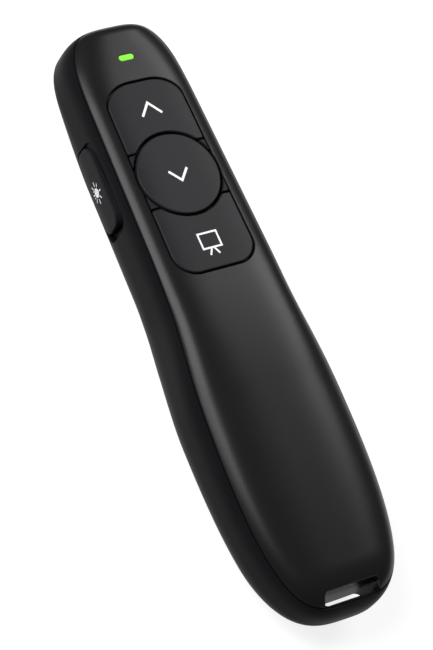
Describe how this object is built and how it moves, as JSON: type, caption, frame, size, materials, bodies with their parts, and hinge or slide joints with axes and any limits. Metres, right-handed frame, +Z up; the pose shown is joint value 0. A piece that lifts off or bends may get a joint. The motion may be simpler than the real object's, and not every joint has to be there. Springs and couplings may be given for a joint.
{
  "type": "wireless presentation clicker",
  "caption": "Slim black handheld presentation clicker with a round key between two shaped keys, a side pointer button, a power slide, a stowed USB receiver and a lanyard slot at the tail.",
  "frame": {"origin": "middle of the overall box in plan, on the surface that the case rests on", "axes": "+Y toward the nose, +X to the right with the keys on top, +Z up out of the key face"},
  "size_m": [0.0366, 0.1408, 0.0245],
  "materials": {
    "cover": "soft-touch black",
    "case": "fine-grain black",
    "frame": "fine-grain black",
    "keys": "fine-grain dark grey",
    "lens_green": "clear green",
    "led": "clear",
    "board": "green solder mask",
    "switch_body": "moulded",
    "switch_stem": "moulded",
    "chip": "moulded",
    "plated_steel": "nickel plated",
    "brass": "machined",
    "clear_glass": "polished",
    "dark_glass": "polished",
    "knob": "fine-grain dark grey",
    "cell": "plain sleeve",
    "receiver": "smooth black",
    "plug": "nickel plated",
    "screw_steel": "zinc plated"
  },
  "bodies": {
    "case": {"top_cover": "cover", "bottom_case": "case", "key_frame": "frame", "indicator_lens": "lens_green", "indicator_led": "led", "circuit_board": "board", "up_switch": "switch_body", "down_switch": "switch_body", "screen_switch": "switch_body", "laser_switch": "switch_body", "radio_chip": "chip", "clock_crystal": "plated_steel", "laser_barrel": "brass", "laser_lens": "clear_glass", "laser_diode": "brass", "laser_window": "dark_glass", "power_switch": "plated_steel", "battery_left": "cell", "battery_right": "cell", "battery_springs": "plated_steel", "battery_contacts": "plated_steel", "case_screws": "screw_steel"},
    "up_key": {"up_button": "keys", "up_switch_stem": "switch_stem"},
    "down_key": {"down_button": "keys", "down_switch_stem": "switch_stem"},
    "screen_key": {"screen_button": "keys", "screen_switch_stem": "switch_stem"},
    "laser_key": {"laser_button": "keys", "laser_switch_stem": "switch_stem"},
    "power_slide": {"power_switch_knob": "knob", "power_switch_lever": "switch_stem"},
    "door": {"battery_door": "case"},
    "receiver": {"receiver_body": "receiver", "receiver_plug": "plug"}
  },
  "joints": [
    {"name": "up_button_press", "type": "slide", "parent": "case", "child": "up_key", "axis": [0, 0, -1], "range_m": [0, 0.0006], "stiffness_N_per_m": 2600},
    {"name": "down_button_press", "type": "slide", "parent": "case", "child": "down_key", "axis": [0, 0, -1], "range_m": [0, 0.0006], "stiffness_N_per_m": 2600},
    {"name": "screen_button_press", "type": "slide", "parent": "case", "child": "screen_key", "axis": [0, 0, -1], "range_m": [0, 0.0006], "stiffness_N_per_m": 2600},
    {"name": "laser_button_press", "type": "slide", "parent": "case", "child": "laser_key", "axis": [1, 0, 0], "range_m": [0, 0.0006], "stiffness_N_per_m": 2600},
    {"name": "power_slide_travel", "type": "slide", "parent": "case", "child": "power_slide", "axis": [0, 1, 0], "range_m": [0, 0.002]},
    {"name": "battery_door_hinge", "type": "hinge", "parent": "case", "child": "door", "pos_m": [0, -0.0057, 0], "axis": [1, 0, 0], "range_deg": [0, 70]},
    {"name": "receiver_slide", "type": "slide", "parent": "case", "child": "receiver", "axis": [0, 0, -1], "range_m": [0, 0.008]}
  ]
}
